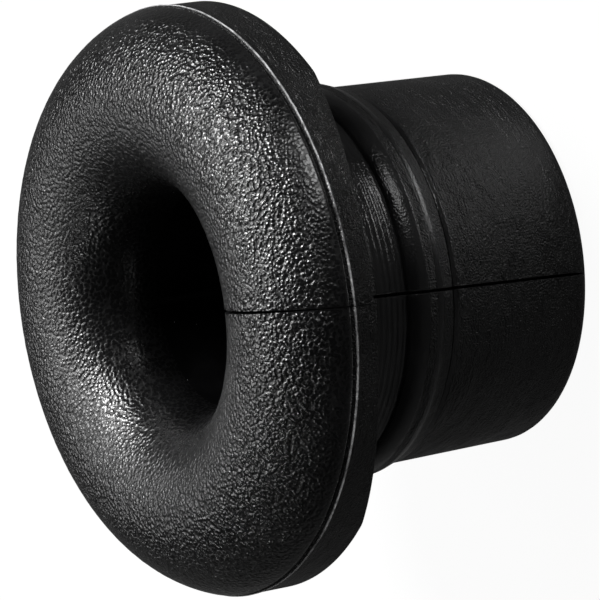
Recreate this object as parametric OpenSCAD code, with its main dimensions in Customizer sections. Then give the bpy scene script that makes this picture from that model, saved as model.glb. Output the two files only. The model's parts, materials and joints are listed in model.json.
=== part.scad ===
// Split cable grommet: a moulded nylon bush that snaps into a round panel hole.
// The origin lies on the axis, in the plane where the flange seats on the panel, and +Z points out of
// the panel. The slit faces +X.

/* [Flange] */
// Diameter of the flange
flange_d = 30; // [26:0.5:40]
// Thickness of the flange at its rim
rim_t = 2.25; // [1.5:0.05:3.5]
// Height of the bell mouth's crest above the panel
mouth_h = 5.9; // [4:0.1:7]

/* [Cable bore] */
// Diameter of the bore that the cable runs through
bore_d = 11; // [6:0.5:14]
// Radius of the edge where the bore leaves the barrel
exit_round = 1; // [0.3:0.1:2]

/* [Panel fit] */
// Diameter of the panel hole that the grommet fits
hole_d = 20; // [18:0.5:22]
// Clearance between the neck and the edge of the panel hole
hole_gap = 0.2; // [0.1:0.05:0.5]
// Thickest panel that fits between the flange and the bead
panel_grip = 4.1; // [2:0.1:6]

/* [Snap bead] */
// How far the bead reaches past the edge of the panel hole
bead_reach = 0.2; // [0.1:0.05:0.8]
// Length of the level land on top of the bead
bead_land = 0.5; // [0.2:0.05:2]
// Radius of the bead's edge on the side of the panel
grip_round = 1.5; // [0.3:0.1:2.5]
// Radius of the bead's edge on the side of the lead-in
lead_round = 1.2; // [0.5:0.1:2]
// Slope of the lead-in that pushes the bead through the hole, in degrees
lead_angle = 18; // [15:1:35]

/* [Barrel] */
// Length from the panel seat to the end of the barrel
barrel_l = 15.4; // [13:0.1:25]
// Draft of the barrel, in degrees
draft_angle = 1; // [0.5:0.1:2]
// Radius of the outer edge at the end of the barrel
end_round = 0.7; // [0.3:0.1:1]

/* [Slit] */
// Width of the slit that lets a cable in from the side
slit_w = 0.15; // [0.1:0.05:1]
// Lean of the slit from the axis, in degrees
slit_lean = 2.3; // [0:0.1:5]
// How far the back of the flange rises from the panel at the slit, so that the rim is thin there
slit_relief = 1.2; // [0.3:0.1:1.4]

/* [Hidden] */
$fn = 128;
nylon_black = [0.05, 0.05, 0.055];

// Room that a cutting shape reaches past the body, and overlap of an arc that joins a slope
spare = 1;
overlap = 0.002;

// Arc sizes that come out of a formula are kept to a thousandth, so that arcs and edges meet exactly
function thousandth(length) = round(length * 1000) / 1000;

// Point on a circle round a centre, at an angle from the radial direction
function around(centre, radius, angle) = centre + radius * [cos(angle), sin(angle)];

// Radii of the turned outline, from the rim inwards
flange_r = flange_d / 2;
hole_r = hole_d / 2;
bead_r = hole_r + bead_reach;
neck_r = hole_r - hole_gap;
bore_r = bore_d / 2;

// Mouth: one arc that leaves the bore in line with it, tops out at mouth_h and ends on the rim's edge
mouth_reach = flange_r - bore_r;
mouth_drop = mouth_h - rim_t;
mouth_round = thousandth(mouth_reach + mouth_drop - sqrt(2 * mouth_reach * mouth_drop));
mouth_centre = [bore_r + mouth_round, mouth_h - mouth_round];

// Bead: front, centres of its two edges, and the foot of its lead-in, going down the axis. An edge that is
// rounder than the bead is high starts on the neck, and a sharper one leaves a flat front.
bead_front_z = -panel_grip;
bead_rise = bead_r - neck_r;
grip_rise = min(bead_rise, grip_round);
grip_l = thousandth(sqrt(2 * grip_round * grip_rise - pow(grip_rise, 2)));
grip_centre = [bead_r - grip_round, bead_front_z - grip_l];
grip_start_r = bead_r - grip_rise;
lead_centre = [bead_r - lead_round, grip_centre.y - bead_land];
lead_l = (lead_round - (lead_round - bead_rise) * cos(lead_angle)) / sin(lead_angle);
bead_foot_z = lead_centre.y - lead_l;

// Barrel end: the drafted wall runs from the foot of the bead to the start of the end's edge
end_z = -barrel_l;
end_r = thousandth(neck_r - (bead_foot_z - end_z - end_round) * tan(draft_angle));
end_centre = [end_r - end_round, end_z + end_round];
exit_centre = [bore_r + exit_round, end_z + exit_round];

// Slice of a disc of up to a quarter turn, which rounds a corner of the section
module pie(centre, radius, from, to) {
    intersection() {
        translate(centre) circle(r = radius);
        polygon([centre, around(centre, 2 * radius, from), around(centre, 2 * radius, to)]);
    }
}

// Outside of the half section, filled to the axis: barrel, bead, neck and flange, from the end up
module outer_form() {
    polygon([
        [0, end_z],
        [end_centre.x, end_z],
        end_centre,
        [end_r, end_centre.y],
        [neck_r, bead_foot_z],
        around(lead_centre, lead_round - overlap, -lead_angle),
        lead_centre,
        [bead_r, lead_centre.y],
        [bead_r, grip_centre.y],
        [grip_start_r, grip_centre.y],
        [grip_start_r, bead_front_z],
        [neck_r, bead_front_z],
        [neck_r, 0],
        [flange_r, 0],
        [flange_r, mouth_h + spare],
        [0, mouth_h + spare]
    ]);
    pie(end_centre, end_round, -90, 0);
    pie(lead_centre, lead_round, -2 * lead_angle, 0);
    pie(grip_centre, grip_round, 0, 90);
}

// Inside of the half section, filled outwards: bell mouth, bore and rounded exit, from the front down
module inner_form() {
    intersection() {
        translate(mouth_centre) circle(r = mouth_round);
        translate([0, mouth_centre.y]) square([flange_d, 2 * mouth_round]);
    }
    translate([bore_r, exit_centre.y]) square([flange_d, mouth_centre.y - exit_centre.y]);
    pie(exit_centre, exit_round, 180, 270);
    translate([exit_centre.x, end_z - spare]) square([flange_d, exit_round + spare]);
}

// Knife cut through one wall from end to end, which crosses the crest of the mouth straight over +X
module slit() {
    cut_l = 2 * (barrel_l + mouth_h);
    translate([0, 0, mouth_h]) rotate([-slit_lean, 0, 0])
        translate([0, -slit_w / 2, -cut_l]) cube([flange_d, slit_w, 2 * cut_l]);
}

// Wedge that slopes the back of the flange away from the panel, from the edge of the hole to the slit's rim
module relief() {
    far_x = flange_r + spare;
    far_rise = slit_relief * (far_x - hole_r) / (flange_r - hole_r);
    rotate([90, 0, 0]) linear_extrude(height = 2 * flange_d, center = true)
        polygon([[hole_r, 0], [far_x, -spare], [far_x, far_rise]]);
}

// The whole moulding, turned so that the start of its revolve lies opposite the slit
module grommet() {
    color(nylon_black) difference() {
        rotate([0, 0, 180]) rotate_extrude() intersection() {
            outer_form();
            inner_form();
        }
        relief();
        slit();
    }
}

grommet();
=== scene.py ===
"""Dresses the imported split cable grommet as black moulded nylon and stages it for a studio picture.

The moulding is turned by Geometry Nodes from its half section, with the grain of the mouth, the flash
line of the rim, the tool lines of the neck and the knife slit as real shapes. Lengths are in metres, in
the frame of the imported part: the panel seat is at z = 0, +Z points out of the panel, the slit faces +X.
"""

import json
import math
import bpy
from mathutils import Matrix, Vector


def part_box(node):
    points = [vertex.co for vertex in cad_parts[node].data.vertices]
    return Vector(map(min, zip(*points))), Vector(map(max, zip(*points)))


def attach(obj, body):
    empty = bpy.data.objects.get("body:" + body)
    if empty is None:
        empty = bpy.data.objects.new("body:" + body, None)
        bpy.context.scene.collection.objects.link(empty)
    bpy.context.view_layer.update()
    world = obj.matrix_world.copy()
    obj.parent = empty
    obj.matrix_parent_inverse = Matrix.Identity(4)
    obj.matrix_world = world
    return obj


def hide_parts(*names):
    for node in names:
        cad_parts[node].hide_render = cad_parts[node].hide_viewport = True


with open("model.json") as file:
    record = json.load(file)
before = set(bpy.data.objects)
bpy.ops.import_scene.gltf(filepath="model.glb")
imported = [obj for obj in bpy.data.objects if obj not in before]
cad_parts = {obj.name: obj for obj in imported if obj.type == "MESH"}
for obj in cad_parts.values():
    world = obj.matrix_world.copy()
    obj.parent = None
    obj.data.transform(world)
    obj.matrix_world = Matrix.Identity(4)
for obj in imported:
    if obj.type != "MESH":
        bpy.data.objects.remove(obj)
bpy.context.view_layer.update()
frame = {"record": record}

from types import SimpleNamespace

import bmesh
import bpy
from bpy.props import FloatProperty, FloatVectorProperty, IntProperty, PointerProperty
from bpy.types import NodeSocket, Operator, Panel, PropertyGroup
from mathutils import Euler, Vector

bl_info = {
    "name": "Split Cable Grommet",
    "version": (1, 0, 0),
    "blender": (4, 5, 0),
    "location": "View3D > Sidebar > Grommet",
    "description": "Builds a split nylon cable grommet on its packed solid, with its finish and a stage",
    "category": "Object",
}

MM = 0.001
PIECE = "grommet_moulding"
CAD_NODE = "grommet"

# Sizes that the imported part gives
NODE_LOW, NODE_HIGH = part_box(CAD_NODE)
MOUNTS = {mount["name"]: mount["dims"] for mount in frame["record"]["mounts"]}
FLANGE_RADIUS = min(NODE_HIGH.x, NODE_HIGH.y)
BORE_RADIUS = MOUNTS["cable_bore"]["r_mm"] * MM
NECK_RADIUS = MOUNTS["panel_hole"]["r_mm"] * MM
PANEL_GRIP = MOUNTS["panel_hole"]["length_mm"] * MM


def length(name, description, default):
    """A length that shows in the panel."""
    return FloatProperty(name=name, description=description, default=default, min=0, precision=5,
                         unit="LENGTH")


def share(name, description, default):
    """A plain number from 0 to 1."""
    return FloatProperty(name=name, description=description, default=default, min=0, max=1,
                         subtype="FACTOR")


def angle(name, description, degrees):
    """An angle, kept in radians."""
    return FloatProperty(name=name, description=description, default=math.radians(degrees),
                         unit="ROTATION")


def power(name, description, watts):
    """Power of a lamp."""
    return FloatProperty(name=name, description=description, default=watts, min=0, precision=4,
                         unit="POWER")


def colour(name, description, default):
    """A linear colour."""
    return FloatVectorProperty(name=name, description=description, default=default, size=3, min=0, max=1,
                               subtype="COLOR")


class GrommetSizes(PropertyGroup):
    """Sizes of the moulding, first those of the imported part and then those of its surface."""

    flange_radius: length("Flange radius", "Radius of the flange over its flash line", FLANGE_RADIUS)
    rim_thickness: length("Rim thickness", "Height of the flash line above the panel seat", 2.25 * MM)
    crest: length("Crest", "Height of the bell mouth above the panel seat", NODE_HIGH.z)
    bore_radius: length("Bore radius", "Radius of the cable bore", BORE_RADIUS)
    exit_round: length("Exit round", "Radius of the bore's edge at the end of the barrel", 1.0 * MM)
    neck_radius: length("Neck radius", "Radius of the neck that sits in the panel hole", NECK_RADIUS)
    panel_grip: length("Panel grip", "Length of the neck", PANEL_GRIP)
    hole_radius: length("Hole radius", "Radius of the panel hole, where the relief starts", 10 * MM)
    bead_height: length("Bead height", "How far the snap bead stands above the neck", 0.4 * MM)
    bead_land: length("Bead land", "Length of the level land on the bead", 0.5 * MM)
    grip_round: length("Grip round", "Radius of the bead's edge beside the neck", 1.5 * MM)
    lead_round: length("Lead round", "Radius of the bead's edge beside the lead-in", 1.2 * MM)
    lead_angle: angle("Lead-in angle", "Slope of the lead-in", 18)
    barrel_length: length("Barrel length", "Panel seat to the end of the barrel", -NODE_LOW.z)
    draft: angle("Draft", "Draft of the barrel", 1)
    end_round: length("End round", "Radius of the outer edge at the end of the barrel", 0.7 * MM)
    slit_width: length("Slit width", "Width of the knife slit along the barrel", 0.15 * MM)
    slit_rim_width: length("Slit width at the rim", "Width of the slit where the rim closes it", 0.04 * MM)
    slit_lean: angle("Slit lean", "Lean of the slit from the axis", 2.3)
    slit_relief: length("Slit relief", "How far the flange's back rises at the slit", 1.2 * MM)
    flash_height: length("Flash height", "How far the flash line stands above the rim", 0.05 * MM)
    flash_groove: length("Flash groove", "Depth of the groove above the flash line", 0.15 * MM)
    flash_width: length("Flash width", "Width of the flash line and of its groove", 0.17 * MM)
    line_pitch: length("Tool line pitch", "Distance between the turned lines on the neck", 0.33 * MM)
    line_depth: length("Tool line depth", "Depth of the turned lines on the neck", 0.05 * MM)
    crease_width: length("Crease width", "Width of the groove at the foot of the bead", 0.2 * MM)
    crease_depth: length("Crease depth", "Depth of the groove at the foot of the bead", 0.16 * MM)
    grain_size: length("Grain size", "Distance between the pebbles of the mouth's grain", 0.3 * MM)
    grain_depth: length("Grain depth", "Depth of the mouth's grain", 0.035 * MM)
    segments: IntProperty(name="Segments", description="Faces round the turned body", default=440, min=64)
    seed: IntProperty(name="Seed", description="Seed of the grain and of the flash line", default=7)


class NylonFinish(PropertyGroup):
    """Colours, gloss and fine relief of the black nylon."""

    black: colour("Nylon", "Black of the nylon", (0.0015, 0.0015, 0.0016))
    bloom: colour("Bloom", "Greyer nylon, where the surface is worn pale", (0.004, 0.004, 0.0042))
    speck: colour("Speck", "Dust and chips on the surface", (0.16, 0.16, 0.165))
    # Flash: pale colour of the flash line. On the lip it is partly scuffed nylon and partly a painted
    # highlight. On the mouth's edge above the groove it is a painted highlight.
    flash: colour("Flash", "Scuffed nylon along the flash line", (0.4, 0.4, 0.405))
    grain_gloss: share("Grain roughness", "Roughness on the pebbles of the mouth", 0.19)
    satin_gloss: share("Satin roughness", "Roughness of the rim, neck and barrel", 0.36)
    grain_specular: share("Grain reflection", "Specular level of the mouth", 0.44)
    satin_specular: share("Satin reflection", "Specular level of the rim, neck and barrel", 0.3)
    cut_specular: share("Cut reflection", "Specular level of the slit's walls", 0.1)
    spark_size: length("Spark size", "Distance between the fine sparks of the grain", 0.19 * MM)
    grain_bump: length("Grain bump", "Depth of the fine grain on the mouth", 0.085 * MM)
    satin_bump: length("Satin bump", "Depth of the skin on the rim, neck and barrel", 0.065 * MM)
    cut_bump: length("Cut bump", "Depth of the drag marks on the slit's walls", 0.01 * MM)


class StageLook(PropertyGroup):
    """Floor, lights and camera."""

    floor: colour("Floor", "Colour of the floor", (0.6, 0.6, 0.6))
    shade: share("Floor shade", "Share of the part's shadow that the picture keeps", 0.05)
    mirrored: share("Floor in reflections", "Brightness of the floor that reflections show", 0.12)
    room: share("Room light", "Strength of the light from all round", 0.025)
    key_power: power("Key light", "Power of the light above the mouth", 3.6)
    fill_power: power("Fill light", "Power of the light beyond the mouth", 0.85)
    back_power: power("Back light", "Power of the small light that makes the lower grain glint", 0.18)
    side_power: power("Side light", "Power of the low light beside the barrel", 0.3)
    bounce_power: power("Bounce light", "Power of the light strip that lies on the floor", 0.00044)
    foot_power: power("Foot light", "Power of the strip at the foot of the barrel", 0.00007)
    glow_power: power("Glow", "Power of the wide dim patch on the floor beyond the strips", 0.00033)
    camera_place: FloatVectorProperty(name="Camera", description="Place of the camera", size=3,
                                      default=(0.192113, 0.016105, 0.116065), subtype="TRANSLATION")
    camera_turn: FloatVectorProperty(name="Camera turn", description="Turn of the camera", size=3,
                                     default=[math.radians(a) for a in (-14.2659, 56.9434, -11.8602)],
                                     subtype="EULER")
    lens: FloatProperty(name="Lens", description="Focal length", default=267.2, unit="CAMERA")


class Bench:
    """Adds nodes to one tree and wires them."""

    def __init__(self, tree):
        self.tree = tree

    def feed(self, node, inputs):
        """Fills inputs of a node by name or number: a socket is linked, a value is set."""
        for key, value in inputs.items():
            if isinstance(value, NodeSocket):
                self.tree.links.new(value, node.inputs[key])
            else:
                node.inputs[key].default_value = value

    def add(self, kind, inputs=None, **settings):
        """A new node with its settings and inputs."""
        node = self.tree.nodes.new(kind)
        for name, value in settings.items():
            setattr(node, name, value)
        self.feed(node, inputs or {})
        return node

    def math(self, operation, *values):
        """Result of a Math node."""
        return self.add("ShaderNodeMath", dict(enumerate(values)), operation=operation).outputs[0]

    def product(self, first, *others):
        """All values multiplied."""
        for value in others:
            first = self.math("MULTIPLY", first, value)
        return first

    def vector(self, operation, *values):
        """Result of a Vector Math node."""
        return self.add("ShaderNodeVectorMath", dict(enumerate(values)), operation=operation).outputs[0]

    def ramp(self, value, low, high, out_low=0.0, out_high=1.0):
        """Smooth step from one value to another."""
        inputs = {"Value": value, "From Min": low, "From Max": high, "To Min": out_low, "To Max": out_high}
        return self.add("ShaderNodeMapRange", inputs, interpolation_type="SMOOTHSTEP").outputs["Result"]

    def combine(self, x, y, z):
        """A vector of three values."""
        return self.add("ShaderNodeCombineXYZ", {"X": x, "Y": y, "Z": z}).outputs[0]

    def separate(self, vector):
        """The three values of a vector."""
        return self.add("ShaderNodeSeparateXYZ", {0: vector}).outputs

    def noise(self, vector, scale, detail):
        """Smooth noise from 0 to 1, with its spots per metre and its finer layers."""
        inputs = {"Vector": vector, "Scale": scale, "Detail": detail}
        return self.add("ShaderNodeTexNoise", inputs).outputs[0]

    def socket(self, name, in_out, kind, default=None):
        """A named socket of the tree's own."""
        made = self.tree.interface.new_socket(name, in_out=in_out, socket_type="NodeSocket" + kind)
        if default is not None:
            made.default_value = default


# What a point of the section says about its place: depth of its grain, pale flash line (scuffed nylon and
# painted highlight), sharp corner, mouth (1, and up to 2 on its duller ring), and how glossy it is rubbed
MASKS = ("grain", "flash", "corner", "mouth", "rubbed")
RUBBED = 1.0
POLISHED = 1.15


class Section:
    """Half section of the moulding: a closed loop of points, each with its outward direction and masks."""

    def __init__(self):
        self.points = []
        self.outward = []
        self.masks = {name: [] for name in MASKS}

    def put(self, r, z, nr, nz, **masks):
        """Adds one point."""
        self.points.append((r, z, 0.0))
        self.outward.append((nr, nz, 0.0))
        for name in MASKS:
            self.masks[name].append(masks.get(name, 0.0))

    def line(self, start, end, steps, first=True, last=True, corner=(0, 0), wave=None, **masks):
        """A straight run in equal steps, outward on its left. The wave moves each point along outward."""
        run = Vector(end) - Vector(start)
        nr, nz = -run.y / run.length, run.x / run.length
        for k in range(0 if first else 1, steps + 1 if last else steps):
            point = Vector(start) + run * k / steps
            if wave:
                point += Vector((nr, nz)) * wave(k / steps)
            edge = corner[0] if k == 0 else corner[1] if k == steps else 0
            self.put(point.x, point.y, nr, nz, corner=edge, **masks)

    def arc(self, centre, radius, start, end, steps, **masks):
        """An arc between two angles in degrees. A mask that changes along it is a function of the angle."""
        for k in range(steps + 1):
            turn = start + (end - start) * k / steps
            nr, nz = math.cos(math.radians(turn)), math.sin(math.radians(turn))
            here = {name: mask(turn) if callable(mask) else mask for name, mask in masks.items()}
            self.put(centre[0] + radius * nr, centre[1] + radius * nz, nr, nz, **here)


def section_places(s):
    """Places that the sizes lead to: radii and heights, and centres of arcs as radius and height."""
    at = SimpleNamespace()
    reach = s.flange_radius - s.bore_radius
    drop = s.crest - s.rim_thickness
    at.mouth_round = reach + drop - math.sqrt(2 * reach * drop)
    at.mouth = (s.bore_radius + at.mouth_round, s.crest - at.mouth_round)
    at.mouth_end = s.rim_thickness + 2 * s.flash_width
    at.mouth_last = math.degrees(math.asin((at.mouth_end - at.mouth[1]) / at.mouth_round))
    at.rim = s.flange_radius - s.flash_height
    at.bead = s.neck_radius + s.bead_height
    grip_length = math.sqrt(2 * s.grip_round * s.bead_height - s.bead_height ** 2)
    at.grip = (at.bead - s.grip_round, -s.panel_grip - grip_length)
    at.lead = (at.bead - s.lead_round, at.grip[1] - s.bead_land)
    rise = s.lead_round - s.bead_height
    at.foot = at.lead[1] - (s.lead_round - rise * math.cos(s.lead_angle)) / math.sin(s.lead_angle)
    at.end = -s.barrel_length
    at.end_radius = s.neck_radius - (at.foot - at.end - s.end_round) * math.tan(s.draft)
    at.end_edge = (at.end_radius - s.end_round, at.end + s.end_round)
    at.exit = (s.bore_radius + s.exit_round, at.end + s.exit_round)
    return at


# Mouth's arc, in degrees from the rim's side at 0 over the crest at 90 to the bore at 180: where the throat
# ends and the fine rings start, the duller ring, and the turns in which the grain grows and fades
THROAT = 137
FINE_RINGS_START = THROAT - 1.4
DULL_RING = 108
DULL_REACH = 34
GRAIN_GROWS = 55
GRAIN_FADES = 16

# Depth of the grain at both ends of the throat, as a share of the whole depth
GRAIN_AT_BORE = 0.05
GRAIN_AT_THROAT = 0.42


def add_mouth(section, s, at):
    """The bore and the bell mouth, with coarse rings in the throat and fine ones where the grain shows."""

    def grain(turn):
        """Depth of the grain, which fades down the throat and at the rim."""
        if turn > THROAT:
            return GRAIN_AT_BORE + (GRAIN_AT_THROAT - GRAIN_AT_BORE) * (180 - turn) / (180 - THROAT)
        return min(1, GRAIN_AT_THROAT + (THROAT - turn) / GRAIN_GROWS, (turn - at.mouth_last) / GRAIN_FADES)

    def mouth(turn):
        """1 on the mouth, and up to 2 on the duller ring inside its crest."""
        return 1 + max(0, 1 - abs(turn - DULL_RING) / DULL_REACH)

    bore = s.bore_radius
    section.line((bore, at.exit[1]), (bore, at.mouth[1]), steps=5, last=False, rubbed=POLISHED)
    masks = {"grain": grain, "mouth": mouth}
    section.arc(at.mouth, at.mouth_round, 180, THROAT, steps=16, rubbed=POLISHED, **masks)
    section.arc(at.mouth, at.mouth_round, FINE_RINGS_START, at.mouth_last, steps=82, **masks)


# Points of the flash line, going down: the groove beside the mouth and then the lip. Each has its depth as
# a share of the groove or of the lip's slope, its way down in flash widths, and how pale it is painted: on
# the lip the pale colour is partly scuff and partly a painted highlight, on the mouth's edge at the top of
# the groove it is a painted highlight.
GROOVE = ((0.05, 0.1, 0.8), (0.2, 0.22, 0.3), (0.85, 0.4, 0), (1, 0.65, 0), (0.9, 1.0, 0))
LIP = ((1.1, 1.25, 0), (1, 1.33, 0.35), (0.5, 1.55, 1), (0, 1.8, 1), (0.2, 1.95, 0.1))

# Slope of the lip, and the way down to its foot and to the plain side of the rim, in flash widths
LIP_SLOPE = 0.25
LIP_FOOT = 2.4
RIM_SIDE = 4


def add_flash_line(section, s, at):
    """Edge of the mouth, groove, and the lip that stands proud of the rim."""
    mouth_edge = at.mouth[0] + at.mouth_round * math.cos(math.radians(at.mouth_last))
    slope = LIP_SLOPE * s.flash_width
    points = [(mouth_edge - depth * s.flash_groove, down, scuff_and_highlight) for depth, down, scuff_and_highlight in GROOVE]
    points += [(s.flange_radius - depth * slope, down, scuff_and_highlight) for depth, down, scuff_and_highlight in LIP]
    points.append((at.rim, LIP_FOOT, 0))
    # The pale share paints the flash colour (scuff and painted highlight on the lip, painted highlight on
    # the mouth's edge) and also rubs the surface glossier
    for r, down, scuff_and_highlight in points:
        section.put(r, at.mouth_end - down * s.flash_width, 1, 0, flash=scuff_and_highlight, rubbed=scuff_and_highlight)


# Small round edge at the back of the rim, the angle of its first ring, and where the flat back starts
BACK_EDGE = 0.04 * MM
BACK_EDGE_START = -22
BACK_INSET = 4 * BACK_EDGE

# First ring of the neck below the flange, number of its turned lines, and depth of the first as a share
NECK_TOP = -0.02 * MM
LINE_COUNT = 5.5
FIRST_LINE = 0.3


def add_rim_and_neck(section, s, at):
    """Side of the rim, back of the flange, and the neck, whose turned lines end at the bead."""
    neck = s.neck_radius
    lines_top = -s.panel_grip + LINE_COUNT * s.line_pitch

    def tool_lines(way):
        """Turned lines that deepen on the way down to the bead."""
        swing = 0.5 - 0.5 * math.cos(math.tau * LINE_COUNT * way)
        return -s.line_depth * min(1, FIRST_LINE + way) * swing

    section.line((at.rim, at.mouth_end - RIM_SIDE * s.flash_width), (at.rim, BACK_EDGE), steps=3)
    section.arc((at.rim - BACK_EDGE, BACK_EDGE), BACK_EDGE, BACK_EDGE_START, -90, steps=3)
    section.line((at.rim - BACK_INSET, 0), (neck, 0), steps=7, corner=(0, 1))
    section.line((neck, NECK_TOP), (neck, lines_top), steps=2)
    section.line((neck, lines_top), (neck, -s.panel_grip), steps=33, first=False, corner=(0, 1),
                 wave=tool_lines, rubbed=RUBBED)


# Rings of the bead's edges start a little way round, clear of the corner or land before them
GRIP_START = 0.92
LEAD_START = 0.2

# Crease at the foot of the bead: its upper edge, then points with depth as a share of the crease's, way up
# from the foot in crease widths, sharp corner and rub, and last the start of the plain barrel
CREASE_TOP = 1.3
CREASE = ((1, 1.2, 1, 0), (1, 0.85, 1, 0), (0.3, 0.55, 1, RUBBED), (0.03, -0.4, 0, RUBBED))
CREASE_END = 1.2


def add_bead(section, s, at):
    """The snap bead, its lead-in slope, and the crease at its foot."""
    neck = s.neck_radius
    grip = math.degrees(math.acos((neck - at.grip[0]) / s.grip_round))
    section.arc(at.grip, s.grip_round, GRIP_START * grip, 0, steps=12, rubbed=RUBBED)
    section.line((at.bead, at.grip[1]), (at.bead, at.lead[1]), steps=3, first=False)
    lead = -math.degrees(s.lead_angle)
    section.arc(at.lead, s.lead_round, LEAD_START * lead, lead, steps=4, rubbed=RUBBED)
    lead_end = (at.lead[0] + s.lead_round * math.cos(s.lead_angle),
                at.lead[1] - s.lead_round * math.sin(s.lead_angle))
    above = CREASE_TOP * s.crease_width
    slope_end = (neck + above * math.tan(s.lead_angle), at.foot + above)
    section.line(lead_end, slope_end, steps=4, first=False, corner=(0, 1))
    for depth, up, corner, rubbed in CREASE:
        section.put(neck - depth * s.crease_depth, at.foot + up * s.crease_width, 1, 0, corner=corner,
                    rubbed=rubbed)


# First ring of the barrel's end edge, and first and last ring of the bore's exit, in degrees
END_EDGE_START = -13
EXIT_START = 258
EXIT_END = 192


def add_barrel(section, s, at):
    """The drafted barrel, its end, and the rounded exit of the bore."""
    below = CREASE_END * s.crease_width
    barrel_top = (s.neck_radius - below * math.tan(s.draft), at.foot - below)
    section.line(barrel_top, (at.end_radius, at.end_edge[1]), steps=8)
    section.arc(at.end_edge, s.end_round, END_EDGE_START, -90, steps=7)
    section.line((at.end_edge[0], at.end), (at.exit[0], at.end), steps=2, first=False)
    section.arc(at.exit, s.exit_round, EXIT_START, EXIT_END, steps=6)


def grommet_section(s):
    """The half section from the sizes: up the bore, over the mouth, down the rim, neck, bead and barrel."""
    section = Section()
    at = section_places(s)
    for add in (add_mouth, add_flash_line, add_rim_and_neck, add_bead, add_barrel):
        add(section, s, at)
    return section


def section_object(section):
    """The section as a closed line of edges, with its masks as point attributes."""
    mesh = bpy.data.meshes.new("grommet_section")
    count = len(section.points)
    mesh.from_pydata(section.points, [(k, (k + 1) % count) for k in range(count)], [])
    outward = mesh.attributes.new("outward", "FLOAT_VECTOR", "POINT")
    outward.data.foreach_set("vector", [value for direction in section.outward for value in direction])
    for name, values in section.masks.items():
        mesh.attributes.new(name, "FLOAT", "POINT").data.foreach_set("value", values)
    made = bpy.data.objects.new("grommet_section", mesh)
    bpy.context.scene.collection.objects.link(made)
    return made


# Inputs of the turning tree and their kinds
TURNING_INPUTS = {
    "Segments": "Int", "Seed": "Int", "Crest": "Float", "Slit slope": "Float", "Slit width": "Float",
    "Slit rim width": "Float", "Slit narrows from": "Float", "Slit closes from": "Float",
    "Slit closed at": "Float", "Flange radius": "Float", "Hole radius": "Float", "Relief slope": "Float",
    "Relief ends at": "Float", "Grain size": "Float", "Grain depth": "Float", "Flash depth": "Float",
    "Satin": "Material", "Grained": "Material", "Cut": "Material",
}

# Numbers that faces carry for their finish, where 0 is satin
GRAINED = 1
CUT = 2

# Slit: where it starts to narrow outside the neck, where it starts and ends closing above the barrel's end,
# and the share of its width that stays open there
SLIT_NARROWS = 1.5 * MM
SLIT_CLOSES = 1.0 * MM
SLIT_CLOSED = 0.3 * MM
SLIT_LEFT = 0.08

# Reach of the relief below the panel seat, distance from the slit in which the grain fades, spots of the
# flash line's chips per metre, widest gap that counts as the seam, and distance of points that are merged
SEAT_SLACK = 0.001 * MM
WALL_CLEAR = 0.3 * MM
CHIP_SCALE = 420.0
SEAM_WIDTH = 1e-7
MERGE_DISTANCE = 2e-7


class TurningBench(Bench):
    """Bench of the turning tree, with the formulas that the skin and the slit's walls share."""

    def __init__(self):
        super().__init__(bpy.data.node_groups.new("Turned moulding", "GeometryNodeTree"))
        self.socket("Section", "INPUT", "Geometry")
        for name, kind in TURNING_INPUTS.items():
            self.socket(name, "INPUT", kind)
        self.socket("Moulding", "OUTPUT", "Geometry")
        self.given = self.add("NodeGroupInput").outputs

    def made(self, kind, inputs=None, **settings):
        """First output of a Geometry node."""
        return self.add("GeometryNode" + kind, inputs, **settings).outputs[0]

    def attribute(self, name, kind="FLOAT"):
        """Values that are stored under a name."""
        return self.made("InputNamedAttribute", {"Name": name}, data_type=kind)

    def store(self, geometry, name, value, domain="POINT", kind="FLOAT"):
        """The geometry with values stored under a name."""
        inputs = {"Geometry": geometry, "Name": name, "Value": value}
        return self.made("StoreNamedAttribute", inputs, domain=domain, data_type=kind)

    def wall_turn(self, r, z, side):
        """Angle of one wall of the slit at a point of the section."""
        given = self.given
        middle = self.math("MULTIPLY", self.math("SUBTRACT", z, given["Crest"]), given["Slit slope"])
        width = self.ramp(r, given["Slit narrows from"], given["Flange radius"], given["Slit width"],
                          given["Slit rim width"])
        left = self.ramp(z, given["Slit closed at"], given["Slit closes from"], SLIT_LEFT)
        across = self.math("MULTIPLY_ADD", self.math("MULTIPLY", width, left), 0.5 * side, middle)
        return self.math("ARCSINE", self.math("DIVIDE", across, r))

    def lifted(self, r, z, turn):
        """Height of a point on the flange's back or rim, which the relief lifts towards the slit."""
        given = self.given
        x = self.math("MULTIPLY", r, self.math("COSINE", turn))
        past = self.math("SUBTRACT", x, given["Hole radius"])
        rise = self.math("MULTIPLY", self.math("MAXIMUM", past, 0.0), given["Relief slope"])
        left = self.math("SUBTRACT", 1.0, self.math("DIVIDE", z, given["Relief ends at"]))
        on_flange = self.math("GREATER_THAN", z, -SEAT_SLACK)
        kept = self.math("MULTIPLY", self.math("MAXIMUM", left, 0.0), on_flange)
        return self.math("MULTIPLY_ADD", rise, kept, z)

    def turned(self, r, z, turn):
        """A point of the section, turned round the axis."""
        return self.combine(self.math("MULTIPLY", r, self.math("COSINE", turn)),
                            self.math("MULTIPLY", r, self.math("SINE", turn)), z)

    def sunk(self, place, grain, flash):
        """Depth of the mouth's pebbles and of the flash line's breaks below the turned surface."""
        given = self.given
        shifted = self.vector("ADD", place, self.combine(given["Seed"], 0.0, 0.0))
        pebbles = self.noise(shifted, self.math("DIVIDE", 1.0, given["Grain size"]), 1.0)
        chips = self.ramp(self.noise(shifted, CHIP_SCALE, 3.0), 0.42, 0.72)
        return self.math("ADD", self.product(pebbles, given["Grain depth"], grain),
                         self.product(chips, given["Flash depth"], flash))


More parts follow.
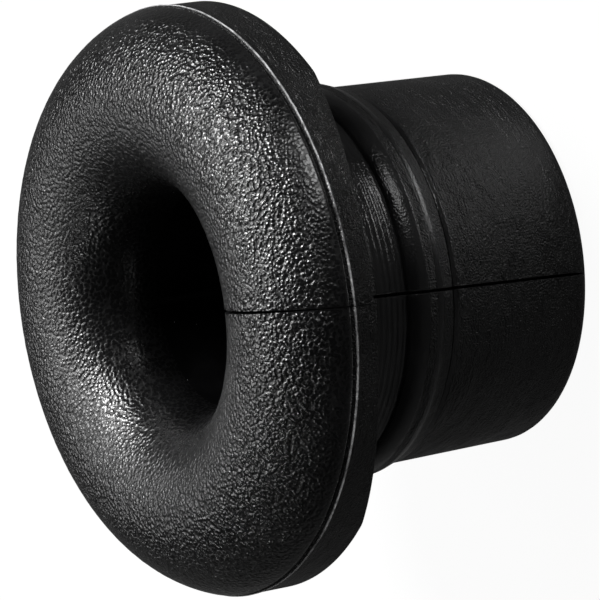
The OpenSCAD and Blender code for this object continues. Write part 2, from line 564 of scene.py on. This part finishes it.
def turned_skin(bench):
    """Skin of the moulding: a grid with a row for each ring of the section, and the first row once more."""
    given = bench.given
    section = given["Section"]
    size = bench.add("GeometryNodeAttributeDomainSize", {0: section}, component="MESH")
    rings = size.outputs["Point Count"]
    columns = bench.math("ADD", given["Segments"], 1)
    counts = {"Vertices X": bench.math("ADD", rings, 1), "Vertices Y": columns}
    skin = bench.made("MeshGrid", {"Size X": 1.0, "Size Y": 1.0, **counts})
    index = bench.made("InputIndex")
    row = bench.math("FLOOR", bench.math("DIVIDE", index, columns))
    column = bench.math("SUBTRACT", index, bench.math("MULTIPLY", row, columns))
    ring = bench.math("MODULO", row, rings)
    along = bench.math("DIVIDE", column, given["Segments"])

    def sampled(value, kind="FLOAT"):
        """A value of the section at this ring."""
        inputs = {"Geometry": section, "Value": value, "Index": ring}
        return bench.made("SampleIndex", inputs, data_type=kind, domain="POINT")

    # Places on the turned surface, from one wall of the slit round to the other
    place = bench.separate(sampled(bench.made("InputPosition"), "FLOAT_VECTOR"))
    outward = bench.separate(sampled(bench.attribute("outward", "FLOAT_VECTOR"), "FLOAT_VECTOR"))
    r = place["X"]
    z = bench.lifted(r, place["Y"], bench.math("MULTIPLY", along, math.tau))
    wall_z = bench.lifted(r, place["Y"], 0.0)
    start = bench.wall_turn(r, wall_z, 1)
    whole = bench.math("SUBTRACT", bench.math("ADD", bench.wall_turn(r, wall_z, -1), math.tau), start)
    turn = bench.math("MULTIPLY_ADD", along, whole, start)

    # Grain and chips, which fade beside the slit
    nearest = bench.math("MINIMUM", along, bench.math("SUBTRACT", 1.0, along))
    near_wall = bench.math("MULTIPLY", nearest, bench.math("MULTIPLY", r, math.tau))
    grain = sampled(bench.attribute("grain"))
    flash = sampled(bench.attribute("flash"))
    depth = bench.sunk(bench.turned(r, z, turn), grain, flash)
    drop = bench.product(depth, bench.ramp(near_wall, 0.0, WALL_CLEAR), -1.0)
    sunk_place = bench.turned(bench.math("MULTIPLY_ADD", outward["X"], drop, r),
                              bench.math("MULTIPLY_ADD", outward["Y"], drop, z), turn)

    for name in MASKS:
        skin = bench.store(skin, name, sampled(bench.attribute(name)))
    skin = bench.store(skin, "seam", bench.math("LESS_THAN", near_wall, SEAM_WIDTH))
    skin = bench.made("SetPosition", {"Geometry": skin, "Position": sunk_place})
    in_mouth = bench.math("GREATER_THAN", bench.attribute("mouth"), 0.6)
    return bench.store(skin, "finish", bench.math("MULTIPLY", in_mouth, GRAINED), "FACE", "INT")


def slit_walls(bench):
    """Walls of the slit: the section with the relief at the slit, filled and laid on each side."""
    flat = bench.separate(bench.made("InputPosition"))
    r, z = flat["X"], flat["Y"]
    eased = bench.combine(r, bench.lifted(r, z, 0.0), 0.0)
    outline = bench.made("SetPosition", {"Geometry": bench.given["Section"], "Position": eased})
    filled = bench.made("FillCurve", {"Curve": bench.made("MeshToCurve", {"Mesh": outline})})
    walls = []
    for side in (1, -1):
        laid = bench.turned(r, z, bench.wall_turn(r, z, side))
        wall = bench.made("SetPosition", {"Geometry": filled, "Position": laid})
        if side < 0:
            wall = bench.made("FlipFaces", {"Mesh": wall})
        wall = bench.store(wall, "seam", 1.0)
        walls.append(bench.store(wall, "finish", CUT, "FACE", "INT"))
    return walls


def turning_tree():
    """Geometry Nodes that turn the section round the axis, leave the slit open and close its two walls."""
    bench = TurningBench()
    parts = [turned_skin(bench), *slit_walls(bench)]
    joined = bench.add("GeometryNodeJoinGeometry")
    for part in parts:
        bench.tree.links.new(part, joined.inputs[0])
    body = bench.made("MergeByDistance", {"Geometry": joined.outputs[0], "Distance": MERGE_DISTANCE})
    body = bench.made("SetShadeSmooth", {"Geometry": body, "Shade Smooth": True})
    sharp = bench.math("MAXIMUM", bench.math("GREATER_THAN", bench.attribute("corner"), 0.6),
                       bench.math("GREATER_THAN", bench.attribute("seam"), 0.99))
    edges = {"Geometry": body, "Selection": sharp, "Shade Smooth": False}
    body = bench.made("SetShadeSmooth", edges, domain="EDGE")
    body = bench.made("RealizeInstances", {"Geometry": body})
    body = bench.made("SetMaterial", {"Geometry": body, "Material": bench.given["Satin"]})
    for number, name in ((GRAINED, "Grained"), (CUT, "Cut")):
        chosen = bench.math("COMPARE", bench.attribute("finish", "INT"), number, 0.1)
        faces = {"Geometry": body, "Selection": chosen, "Material": bench.given[name]}
        body = bench.made("SetMaterial", faces)
    bench.add("NodeGroupOutput", {"Moulding": body})
    return bench.tree


def turning_values(s, materials):
    """What each input of the turning tree is set to."""
    return {
        "Segments": s.segments,
        "Seed": s.seed,
        "Crest": s.crest,
        "Slit slope": math.tan(s.slit_lean),
        "Slit width": s.slit_width,
        "Slit rim width": s.slit_rim_width,
        "Slit narrows from": s.neck_radius + SLIT_NARROWS,
        "Slit closes from": SLIT_CLOSES - s.barrel_length,
        "Slit closed at": SLIT_CLOSED - s.barrel_length,
        "Flange radius": s.flange_radius,
        "Hole radius": s.hole_radius,
        "Relief slope": s.slit_relief / (s.flange_radius - s.hole_radius),
        "Relief ends at": s.rim_thickness - 0.5 * s.flash_width,
        "Grain size": s.grain_size,
        "Grain depth": s.grain_depth,
        "Flash depth": s.flash_height,
        **materials,
    }


def turn_moulding(sizes, materials):
    """Runs the turning tree on the section and returns the moulding as a plain mesh object."""
    blank = section_object(grommet_section(sizes))
    tree = turning_tree()
    turning = blank.modifiers.new("Turning", "NODES")
    turning.node_group = tree
    values = turning_values(sizes, materials)
    for item in tree.interface.items_tree:
        if item.in_out == "INPUT" and item.name in values:
            turning[item.identifier] = values[item.name]
    bpy.context.view_layer.update()
    graph = bpy.context.evaluated_depsgraph_get()
    mesh = bpy.data.meshes.new_from_object(blank.evaluated_get(graph), preserve_all_data_layers=True,
                                           depsgraph=graph)
    mesh.name = PIECE
    blank.modifiers.remove(turning)
    bpy.data.objects.remove(blank)
    made = bpy.data.objects.new(PIECE, mesh)
    bpy.context.scene.collection.objects.link(made)
    return made


class ShaderBench(Bench):
    """Bench of a material or of a shader node group."""

    def position(self):
        """Place on the object."""
        return self.add("ShaderNodeTexCoord").outputs["Object"]

    def mask(self, name):
        """One of the section's masks."""
        return self.add("ShaderNodeAttribute", attribute_name=name).outputs["Fac"]

    def group(self, tree, **inputs):
        """Outputs of a node group."""
        return self.add("ShaderNodeGroup", inputs, node_tree=tree).outputs

    def bump(self, height, distance):
        """Normal of a surface with small heights."""
        inputs = {"Strength": 1.0, "Distance": distance, "Height": height}
        return self.add("ShaderNodeBump", inputs).outputs["Normal"]

    def mix(self, factor, first, second):
        """Colour between two colours."""
        colours = {"Factor": factor, "A": first, "B": second}
        node = self.add("ShaderNodeMix", data_type="RGBA")
        for socket in node.inputs:
            value = colours.get(socket.name)
            if value is None or not socket.enabled:
                continue
            if isinstance(value, NodeSocket):
                self.tree.links.new(value, socket)
            else:
                socket.default_value = (*value, 1.0)
        return next(socket for socket in node.outputs if socket.enabled)


def group_bench(name, inputs, outputs):
    """A new shader node group with named inputs and outputs."""
    bench = ShaderBench(bpy.data.node_groups.new(name, "ShaderNodeTree"))
    for socket_name, kind, default in inputs:
        bench.socket(socket_name, "INPUT", kind, default)
    for socket_name in outputs:
        bench.socket(socket_name, "OUTPUT", "Float")
    return bench, bench.add("NodeGroupInput").outputs


def spark_grain_group():
    """Pebbled spark grain: rounded bumps of uneven size with finer pits between them."""
    inputs = (("Position", "Vector", None), ("Size", "Float", 0.3 * MM))
    bench, given = group_bench("Spark grain", inputs, ("Height", "Pits"))
    scale = bench.math("DIVIDE", 1.0, given["Size"])
    cells = {"Vector": given["Position"], "Scale": scale, "Smoothness": 0.3}
    away = bench.add("ShaderNodeTexVoronoi", cells, feature="SMOOTH_F1").outputs["Distance"]
    domes = bench.math("SUBTRACT", 0.6, bench.math("MULTIPLY", away, away))
    fine = bench.noise(given["Position"], bench.math("MULTIPLY", scale, 1.6), 1.0)
    height = bench.math("MULTIPLY_ADD", fine, 0.5, domes)
    bench.add("NodeGroupOutput", {"Height": height, "Pits": bench.ramp(domes, 0.45, 0.2)})
    return bench.tree


def pale_specks_group():
    """Few small pale specks of dust and chipped skin."""
    inputs = (("Position", "Vector", None), ("Spacing", "Float", 0.9 * MM), ("Share", "Float", 0.1))
    bench, given = group_bench("Pale specks", inputs, ("Mask",))
    scale = bench.math("DIVIDE", 1.0, given["Spacing"])
    cells = bench.add("ShaderNodeTexVoronoi", {"Vector": given["Position"], "Scale": scale})
    chance = bench.separate(cells.outputs["Color"])
    present = bench.math("LESS_THAN", chance["X"], given["Share"])
    size = bench.math("MULTIPLY_ADD", chance["Y"], 0.045, 0.02)
    dot = bench.ramp(cells.outputs["Distance"], size, bench.math("MULTIPLY", size, 0.4))
    bench.add("NodeGroupOutput", {"Mask": bench.math("MULTIPLY", dot, present)})
    return bench.tree


# Stretch of the tool lines and of their patches round the axis, and spots of the patches per metre
LINE_STRETCH = (0.15, 0.15, 1.0)
PATCH_STRETCH = (0.5, 0.5, 1.0)
PATCH_SCALE = 1100.0


def tool_lines_group():
    """Fine turned lines round the axis that come and go."""
    inputs = (("Position", "Vector", None), ("Pitch", "Float", 0.16 * MM))
    bench, given = group_bench("Tool lines", inputs, ("Height",))
    scale = bench.math("DIVIDE", 1.0, given["Pitch"])
    lines = bench.noise(bench.vector("MULTIPLY", given["Position"], LINE_STRETCH), scale, 2.0)
    spots = bench.noise(bench.vector("MULTIPLY", given["Position"], PATCH_STRETCH), PATCH_SCALE, 2.0)
    patches = bench.ramp(spots, 0.42, 0.62, 0.1, 1.0)
    bench.add("NodeGroupOutput", {"Height": bench.math("MULTIPLY", lines, patches)})
    return bench.tree


def new_material(name):
    """An empty material, its Principled shader and the bench of its tree."""
    material = bpy.data.materials.new(name)
    material.use_nodes = True
    bench = ShaderBench(material.node_tree)
    return material, material.node_tree.nodes["Principled BSDF"], bench


# Grained mouth: share of cells with a speck, cloud spots per metre, and roughness added in the pits of the
# grain and on the duller ring
MOUTH_SPECKS = 0.04
MOUTH_CLOUDS = 260.0
PIT_DULLING = 0.15
RING_DULLING = 0.17


def grained_nylon(finish, sparks, specks):
    """The mouth: spark grain that is duller in its pits and on the ring inside the crest."""
    material, shader, bench = new_material("grained_nylon")
    position = bench.position()
    grain = bench.group(sparks, Position=position, Size=finish.spark_size)
    dust = bench.group(specks, Position=position, Share=MOUTH_SPECKS)
    cloud = bench.noise(position, MOUTH_CLOUDS, 3.0)
    tone = bench.mix(bench.ramp(cloud, 0.35, 0.7), finish.black, finish.bloom)
    rough = bench.math("MULTIPLY_ADD", grain["Pits"], PIT_DULLING, finish.grain_gloss)
    ring = bench.math("SUBTRACT", bench.mask("mouth"), 1.0)
    height = bench.math("MULTIPLY", grain["Height"], bench.mask("grain"))
    bench.feed(shader, {
        "Base Color": bench.mix(dust["Mask"], tone, finish.speck),
        "Roughness": bench.math("MULTIPLY_ADD", ring, RING_DULLING, rough),
        "Normal": bench.bump(height, finish.grain_bump),
        "Specular IOR Level": finish.grain_specular,
    })
    return material


# Satin skin: share of cells with a speck, then spots per metre of the clouds, of the nicks and bare
# stretches along the flash line, and of the skin with its stretch
SATIN_SPECKS = 0.25
SATIN_CLOUDS = 320.0
NICK_SCALE = 2600.0
STRETCH_SCALE = 330.0
SKIN_SCALE = 12000.0
SKIN_STRETCH = (0.8, 0.8, 1.0)

# Weights of the skin and of the tool lines in its height, and the mean height that is taken off
SKIN_WEIGHT = 2.2
LINES_WEIGHT = 2.6
SKIN_MEAN = 1.8

# Roughness that the clouds add, and roughness and relief that rubbing takes away
CLOUD_DULLING = 0.12
RUB_GLOSS = 0.22
RUB_SMOOTHING = 0.85


def satin_nylon(finish, specks, lines):
    """Rim, neck, bead and barrel: a satin skin, glossier where it is rubbed, and pale on the flash line as
    scuff and painted highlight.
    """
    material, shader, bench = new_material("satin_nylon")
    position = bench.position()
    rubbed = bench.mask("rubbed")
    turned = bench.group(lines, Position=position)
    dust = bench.group(specks, Position=position, Share=SATIN_SPECKS)
    cloud = bench.noise(position, SATIN_CLOUDS, 4.0)
    tone = bench.mix(bench.ramp(cloud, 0.35, 0.75), finish.black, finish.bloom)
    nicks = bench.ramp(bench.noise(position, NICK_SCALE, 3.0), 0.32, 0.6, 0.4, 1.0)
    stretches = bench.ramp(bench.noise(position, STRETCH_SCALE, 2.0), 0.35, 0.62, 0.3, 1.0)
    # Pale flash line, broken by nicks and bare stretches: partly scuffed nylon and partly painted highlight
    # on the lip, painted highlight on the mouth's edge
    tone = bench.mix(bench.product(nicks, stretches, bench.mask("flash")), tone, finish.flash)
    rough = bench.math("MULTIPLY_ADD", bench.ramp(cloud, 0.3, 0.7), CLOUD_DULLING, finish.satin_gloss)
    skin = bench.noise(bench.vector("MULTIPLY", position, SKIN_STRETCH), SKIN_SCALE, 1.0)
    raised = bench.math("MULTIPLY", turned["Height"], LINES_WEIGHT)
    raised = bench.math("MULTIPLY_ADD", skin, SKIN_WEIGHT, raised)
    kept = bench.math("MULTIPLY_ADD", rubbed, -RUB_SMOOTHING, 1.0)
    height = bench.math("MULTIPLY", bench.math("SUBTRACT", raised, SKIN_MEAN), kept)
    bench.feed(shader, {
        "Base Color": bench.mix(dust["Mask"], tone, finish.speck),
        "Roughness": bench.math("MULTIPLY_ADD", rubbed, -RUB_GLOSS, rough),
        "Normal": bench.bump(height, finish.satin_bump),
        "Specular IOR Level": finish.satin_specular,
    })
    return material


# Drag marks of the knife: stretch along the cut, and spots per metre
DRAG_STRETCH = (1.0, 1.0, 0.1)
DRAG_SCALE = 5000.0


def cut_nylon(finish):
    """Walls of the knife cut: dull, with drag marks along the cut."""
    material, shader, bench = new_material("cut_nylon")
    drag = bench.noise(bench.vector("MULTIPLY", bench.position(), DRAG_STRETCH), DRAG_SCALE, 2.0)
    bench.feed(shader, {
        "Base Color": bench.mix(drag, finish.black, finish.bloom),
        "Roughness": bench.ramp(drag, 0.2, 0.8, 0.5, 0.75),
        "Normal": bench.bump(drag, finish.cut_bump),
        "Specular IOR Level": finish.cut_specular,
    })
    return material


def nylon_materials(finish):
    """The three finishes of the moulding, from shared node groups."""
    specks = pale_specks_group()
    return {
        "Satin": satin_nylon(finish, specks, tool_lines_group()),
        "Grained": grained_nylon(finish, spark_grain_group(), specks),
        "Cut": cut_nylon(finish),
    }


class GROMMET_OT_moulding(Operator):
    """Turn the nylon moulding from its half section and give it its finish"""

    bl_idname = "grommet.moulding"
    bl_label = "Moulding"

    def execute(self, context):
        sizes, finish = context.scene.grommet_sizes, context.scene.grommet_finish
        moulding = turn_moulding(sizes, nylon_materials(finish))
        if not moulding.data.polygons:
            raise RuntimeError("the turned moulding has no faces")
        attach(moulding, "root")
        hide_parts(CAD_NODE)
        return {"FINISHED"}


# Floor: its size and sides, its roughness, and the width of the soft edge of the part's foot
FLOOR_RADIUS = 1.5
FLOOR_SIDES = 96
FLOOR_ROUGHNESS = 0.9
FOOT_BLUR = 0.3 * MM


def floor_material(look, foot):
    """Pale floor that the picture shows as white, with a share of the part's shadow, dark in its foot."""
    material, shader, bench = new_material("pale_floor")
    bench.feed(shader, {
        "Base Color": (*look.floor, 1.0),
        "Roughness": FLOOR_ROUGHNESS,
        "Specular IOR Level": 0.0,
    })
    path = bench.add("ShaderNodeLightPath").outputs
    reflected = bench.math("MAXIMUM", path["Is Glossy Ray"], path["Is Transmission Ray"])
    place = bench.vector("MULTIPLY", bench.position(), (1.0, 1.0, 0.0))
    away = bench.add("ShaderNodeVectorMath", {0: place}, operation="LENGTH").outputs["Value"]
    open_floor = bench.ramp(away, foot - FOOT_BLUR, foot, 0.0, 1.0 - look.shade)
    seen = bench.math("MULTIPLY", path["Is Camera Ray"], open_floor)
    amount = bench.math("MAXIMUM", seen, reflected)
    strength = bench.math("MULTIPLY_ADD", reflected, look.mirrored - 1.0, 1.0)
    white = bench.add("ShaderNodeEmission", {"Strength": strength})
    mix = bench.add("ShaderNodeMixShader", {0: amount, 1: shader.outputs[0], 2: white.outputs[0]})
    bench.feed(bench.tree.nodes["Material Output"], {"Surface": mix.outputs[0]})
    return material


def floor_object(look, sizes):
    """A round floor under the end of the barrel."""
    mesh = bpy.data.meshes.new("floor")
    shape = bmesh.new()
    bmesh.ops.create_circle(shape, cap_ends=True, segments=FLOOR_SIDES, radius=FLOOR_RADIUS)
    bmesh.ops.translate(shape, verts=shape.verts, vec=(0, 0, -sizes.barrel_length))
    shape.to_mesh(mesh)
    shape.free()
    mesh.materials.append(floor_material(look, sizes.neck_radius - sizes.end_round))
    return bpy.data.objects.new("floor", mesh)


def room_world(look):
    """Dim light from all round, which the camera itself sees as white."""
    world = bpy.data.worlds.new("room")
    world.use_nodes = True
    bench = Bench(world.node_tree)
    seen = bench.add("ShaderNodeLightPath").outputs["Is Camera Ray"]
    strength = bench.math("MULTIPLY_ADD", seen, 1 - look.room, look.room)
    bench.feed(world.node_tree.nodes["Background"], {"Color": (1, 1, 1, 1), "Strength": strength})
    return world


# Lamps: name, azimuth and elevation in degrees as seen from the part, distance, width and height
LAMPS = (
    ("key", 107.0, 53.5, 0.4, 0.14, 0.14),
    ("fill", 180.0, 52.0, 0.4, 0.24, 0.2),
    ("back", 262.0, 47.0, 0.4, 0.025, 0.025),
    ("side", 46.0, 4.5, 0.3, 0.12, 0.11),
)

# Strips just above the floor that shine up: name, azimuth in degrees, distance from the axis, width, length
STRIPS = (
    ("bounce", 36.0, 15.0 * MM, 1.6 * MM, 10 * MM),
    ("foot", 37.0, 11.8 * MM, 4 * MM, 12 * MM),
    ("glow", 40.0, 33.0 * MM, 24 * MM, 30 * MM),
)
STRIP_LIFT = 0.3 * MM


def light_object(look, name, width, height, place, turn):
    """An oval area light, with the power that the look gives it."""
    lamp = bpy.data.lights.new(name + "_light", "AREA")
    lamp.shape = "ELLIPSE"
    lamp.size = width
    lamp.size_y = height
    lamp.energy = getattr(look, name + "_power")
    holder = bpy.data.objects.new(name + "_light", lamp)
    holder.location = place
    holder.rotation_euler = turn
    return holder


def light_objects(look, sizes):
    """The lamps round the part, which face it, and the strips on the floor, which face up."""
    lights = []
    for name, azimuth, elevation, distance, width, height in LAMPS:
        aim = Euler((0, -math.radians(elevation), math.radians(azimuth)))
        towards = aim.to_matrix() @ Vector((1, 0, 0))
        turn = towards.to_track_quat("Z", "Y").to_euler()
        lights.append(light_object(look, name, width, height, distance * towards, turn))
    for name, azimuth, away, width, height in STRIPS:
        turn = math.radians(azimuth)
        place = (away * math.cos(turn), away * math.sin(turn), STRIP_LIFT - sizes.barrel_length)
        lights.append(light_object(look, name, width, height, place, (math.pi, 0, turn)))
    return lights


def camera_object(look):
    """The camera of the picture."""
    camera = bpy.data.objects.new("camera", bpy.data.cameras.new("camera"))
    camera.location = look.camera_place
    camera.rotation_euler = Euler(look.camera_turn, "XYZ")
    camera.data.lens = look.lens
    camera.data.clip_start = 10 * MM
    return camera


class GROMMET_OT_stage(Operator):
    """Set the floor, the lights and the camera"""

    bl_idname = "grommet.stage"
    bl_label = "Stage"

    def execute(self, context):
        scene = context.scene
        sizes, look = scene.grommet_sizes, scene.grommet_stage
        floor = floor_object(look, sizes)
        camera = camera_object(look)
        for item in (floor, *light_objects(look, sizes), camera):
            scene.collection.objects.link(item)
        scene.world = room_world(look)
        scene.camera = camera
        scene.view_settings.view_transform = "Standard"
        return {"FINISHED"}


class GROMMET_PT_panel(Panel):
    """Sizes, finish and stage of the grommet"""

    bl_label = "Grommet"
    bl_space_type = "VIEW_3D"
    bl_region_type = "UI"
    bl_category = "Grommet"

    def draw(self, context):
        for heading, group, operator in (("Moulding", context.scene.grommet_sizes, "grommet.moulding"),
                                         ("Finish", context.scene.grommet_finish, None),
                                         ("Stage", context.scene.grommet_stage, "grommet.stage")):
            box = self.layout.box()
            box.label(text=heading)
            for name in group.__annotations__:
                box.prop(group, name)
            if operator:
                box.operator(operator)


CLASSES = (GrommetSizes, NylonFinish, StageLook, GROMMET_OT_moulding, GROMMET_OT_stage, GROMMET_PT_panel)
GROUPS = {"grommet_sizes": GrommetSizes, "grommet_finish": NylonFinish, "grommet_stage": StageLook}


def register():
    for item in CLASSES:
        bpy.utils.register_class(item)
    for name, group in GROUPS.items():
        setattr(bpy.types.Scene, name, PointerProperty(type=group))


def unregister():
    for name in GROUPS:
        delattr(bpy.types.Scene, name)
    for item in reversed(CLASSES):
        bpy.utils.unregister_class(item)


def main():
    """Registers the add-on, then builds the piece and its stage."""
    register()
    bpy.ops.grommet.moulding()
    bpy.ops.grommet.stage()


if __name__ == "__main__":
    main()
